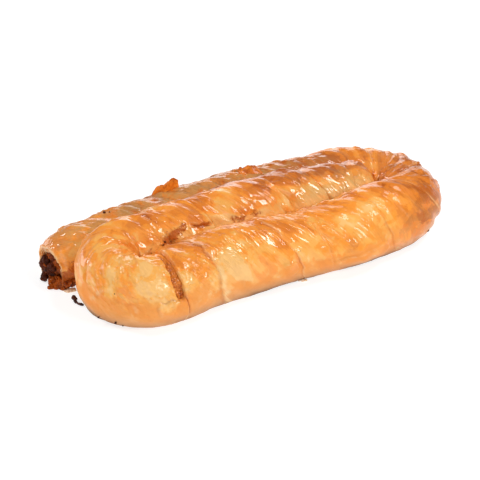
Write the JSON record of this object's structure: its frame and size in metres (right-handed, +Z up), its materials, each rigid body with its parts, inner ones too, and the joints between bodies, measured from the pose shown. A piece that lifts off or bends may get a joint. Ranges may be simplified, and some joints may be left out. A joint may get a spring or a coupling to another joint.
{
  "type": "coiled meat pie",
  "caption": "Long coiled pie: a glazed filo rope in an oblong flat spiral round a minced meat filling, which shows at the open end and in a split beside the tight turn.",
  "frame": {"origin": "centre of the footprint, on the tray's surface", "axes": "+Z up, +X along the runs from the open end's side to the wide turn's side, -Y to the front run"},
  "size_m": [0.2599, 0.1085, 0.046],
  "materials": {
    "pastry": "baked golden brown with an oily glaze",
    "filling": "browned minced meat, burnt at the open end"
  },
  "bodies": {
    "root": {"pastry": "pastry", "filling": "filling"}
  },
  "joints": []
}
